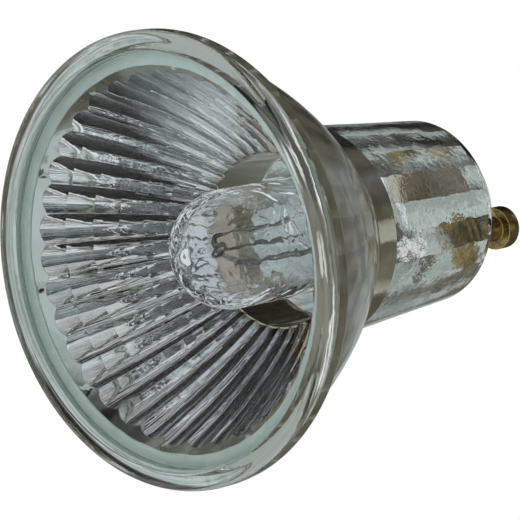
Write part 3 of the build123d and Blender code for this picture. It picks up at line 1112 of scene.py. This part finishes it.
def tent_cloth():
    """White cloth of a light tent with its openings and cards, which glass and mirror show."""
    material, tree, place = bare_material("tent_cloth")
    toward = add_node(tree, "VectorMath", {0: place}, operation="NORMALIZE").outputs[0]
    sway, creases = (
        add_node(tree, "TexNoise", {
            "Vector": toward, "Scale": scale, "Detail": detail,
        }).outputs["Fac"]
        for scale, detail in ((6.0, 2.0), (14.0, 3.0))
    )
    white = [1.0, 1.0, 1.0]
    cloth = lay_cards(tree, TENT_CARDS[:1], toward, sway, white)
    near = add_node(tree, "SeparateXYZ", {0: toward}).outputs["Z"]
    # Only on the cloth behind the lamp
    crease = maths(
        tree, "MULTIPLY", ramp(tree, creases, 0.42, 0.56, 0.6, 0.0), ramp(tree, near, -0.3, -0.5)
    )
    cloth = mixed(tree, crease, cloth, "#5E625F")
    cloth = lay_cards(tree, TENT_CARDS[1:], toward, sway, cloth)
    # Light that reaches matt things through the glass is the plain cloth's
    matt_ray = add_node(tree, "LightPath").outputs["Diffuse Depth"]
    cloth = mixed(tree, ramp(tree, matt_ray, 0.0, 1.0), cloth, white)
    glow = add_node(tree, "Emission", {"Color": cloth})
    add_node(tree, "OutputMaterial", {"Surface": glow.outputs[0]})
    return material


def floor_paint(finishes):
    """Matt floor that is open under the lamp's mouth and from below."""
    material, tree, place = bare_material("matt_floor_paint")
    far = add_node(tree, "VectorMath", {0: place}, operation="LENGTH").outputs["Value"]
    cloud = noise_at(tree, place, 60.0, 2.0)
    tint = mixed(tree, cloud, finishes.floor, "#F1F1F0")
    matt = add_node(tree, "BsdfDiffuse", {"Color": tint})
    white = add_node(tree, "Emission", {"Color": (1, 1, 1, 1)})
    through = add_node(tree, "LightPath").outputs["Is Transmission Ray"]
    # Painted white further out and, for the most part, where glass shows it
    fade = maths(tree, "MAXIMUM", ramp(tree, far, 0.12, 0.45), maths(tree, "MULTIPLY", through, 0.7))
    surface = add_node(tree, "MixShader", {0: fade, 1: matt.outputs[0], 2: white.outputs[0]})
    clear = add_node(tree, "BsdfTransparent")
    below = add_node(tree, "NewGeometry").outputs["Backfacing"]
    mouth = ramp(tree, far, GLASS[1].x - 0.1 * MM, GLASS[1].x - 0.05 * MM, 1.0, 0.0)
    is_open = maths(tree, "MAXIMUM", below, mouth)
    one_sided = add_node(tree, "MixShader", {
        0: is_open, 1: surface.outputs[0], 2: clear.outputs[0],
    })
    add_node(tree, "OutputMaterial", {"Surface": one_sided.outputs[0]})
    return material


def area_light(name, size, watts):
    """Rectangular soft light whose face stays out of glass and metal, which show the tent."""
    data = bpy.data.lights.new(name, "AREA")
    data.shape = "RECTANGLE"
    data.size, data.size_y = size
    data.energy = watts
    light = linked(name, data)
    light.visible_glossy = False
    light.visible_transmission = False
    return light


def softbox(name, toward, size, watts):
    """Area light that faces the lamp."""
    distance = 0.5
    light = area_light(name, size, watts)
    direction = (photographer_turn() @ Vector(toward)).normalized()
    light.location = Vector((0, 0, 0.02)) + direction * distance
    light.rotation_mode = "QUATERNION"
    light.rotation_quaternion = direction.to_track_quat("Z", "Y")


class LAMP_OT_stage(bpy.types.Operator):
    """Sets up the floor, lights, light tent, white surroundings and camera"""
    bl_idname = "lamp.stage"
    bl_label = "Stage"

    def execute(self, context):
        finishes = context.scene.lamp_finishes
        scene = context.scene
        self.make_world(scene)
        self.make_floor(finishes)
        self.make_tent()
        softbox("key_light", (-0.6, 0.9, 0.8), (0.25, 0.25), 1.5)
        softbox("low_light", (0.5, -0.9, 0.7), (0.3, 0.2), 1.0)
        area_light("overhead_light", (0.5, 0.5), 2.2).location = (0, 0, 0.6)
        self.make_camera(scene)
        scene.view_settings.view_transform = "Standard"
        scene.cycles.glossy_bounces = 10
        scene.cycles.max_bounces = 20
        scene.cycles.transmission_bounces = 16
        return {"FINISHED"}

    def make_world(self, scene):
        """White round the lamp for the eye, glass and metal, and softer as light."""
        world = bpy.data.worlds.new("studio_white")
        world.use_nodes = True
        scene.world = world
        tree = world.node_tree
        tree.nodes.clear()
        path = add_node(tree, "LightPath").outputs
        seen = maths(tree, "MAXIMUM", path["Is Camera Ray"], path["Is Glossy Ray"])
        shown = maths(tree, "MAXIMUM", seen, path["Is Transmission Ray"])
        strength = ramp(tree, shown, 0.0, 1.0, 0.45, 1.0)
        back = add_node(tree, "Background", {"Color": (1, 1, 1, 1), "Strength": strength})
        add_node(tree, "OutputWorld", {"Surface": back.outputs[0]})

    def make_tent(self):
        """Light tent round the lamp, which the camera and the shadows don't see."""
        build = bmesh.new()
        bmesh.ops.create_icosphere(build, subdivisions=4, radius=0.8)
        mesh = bpy.data.meshes.new("light_tent")
        build.to_mesh(mesh)
        build.free()
        mesh.shade_smooth()
        mesh.materials.append(tent_cloth())
        tent = linked("light_tent", mesh)
        tent.matrix_world = photographer_turn().to_4x4()
        for ray in ("camera", "diffuse", "shadow", "volume_scatter"):
            setattr(tent, f"visible_{ray}", False)

    def make_floor(self, finishes):
        """Floor, a hair below the rim that the lamp stands on."""
        mesh = bpy.data.meshes.new("studio_floor")
        size = 1.5
        corners = [(x * size, y * size, 0) for x, y in ((-1, -1), (1, -1), (1, 1), (-1, 1))]
        mesh.from_pydata(corners, [], [(0, 1, 2, 3)])
        mesh.materials.append(floor_paint(finishes))
        floor = linked("studio_floor", mesh)
        floor.location.z = -0.02 * MM

    def make_camera(self, scene):
        """Camera at the photograph's place and angle."""
        data = bpy.data.cameras.new("photo_camera")
        data.sensor_width = SENSOR_WIDTH
        data.lens = FOCAL_WIDTHS * SENSOR_WIDTH
        data.clip_start = 0.01
        data.clip_end = 10
        camera = linked("photo_camera", data)
        rim_centre = Vector((*CAMERA_OFFSET, CAMERA_DISTANCE))
        place = Vector([-rim_centre.dot(axis) for axis in camera_axes()])
        camera.matrix_world = Matrix.Translation(place) @ photographer_turn().to_4x4()
        scene.camera = camera


OPERATORS = (
    LAMP_OT_glass_body, LAMP_OT_cover, LAMP_OT_capsule, LAMP_OT_filament, LAMP_OT_pins, LAMP_OT_stage,
)


class LAMP_PT_panel(bpy.types.Panel):
    """Lists the lamp's pieces, sizes and finishes"""
    bl_idname = "LAMP_PT_panel"
    bl_label = "Reflector lamp"
    bl_space_type = "VIEW_3D"
    bl_region_type = "UI"
    bl_category = "Lamp"

    def draw(self, context):
        for operator in OPERATORS:
            self.layout.operator(operator.bl_idname)
        for name in GROUPS:
            group = getattr(context.scene, name)
            box = self.layout.box()
            for key in group.bl_rna.properties.keys():
                if key not in ("rna_type", "name"):
                    box.prop(group, key)


GROUPS = {
    "lamp_glass_sizes": LampGlassSizes,
    "lamp_inner_sizes": LampInnerSizes,
    "lamp_finishes": LampFinishes,
}


def register():
    for group in (*GROUPS.values(), *OPERATORS, LAMP_PT_panel):
        bpy.utils.register_class(group)
    for name, group in GROUPS.items():
        setattr(bpy.types.Scene, name, bpy.props.PointerProperty(type=group))


def unregister():
    for name in GROUPS:
        delattr(bpy.types.Scene, name)
    for group in (LAMP_PT_panel, *reversed(OPERATORS), *reversed(list(GROUPS.values()))):
        bpy.utils.unregister_class(group)


def main():
    register()
    for operator in OPERATORS:
        group, name = operator.bl_idname.split(".")
        getattr(getattr(bpy.ops, group), name)()


if __name__ == "__main__":
    main()
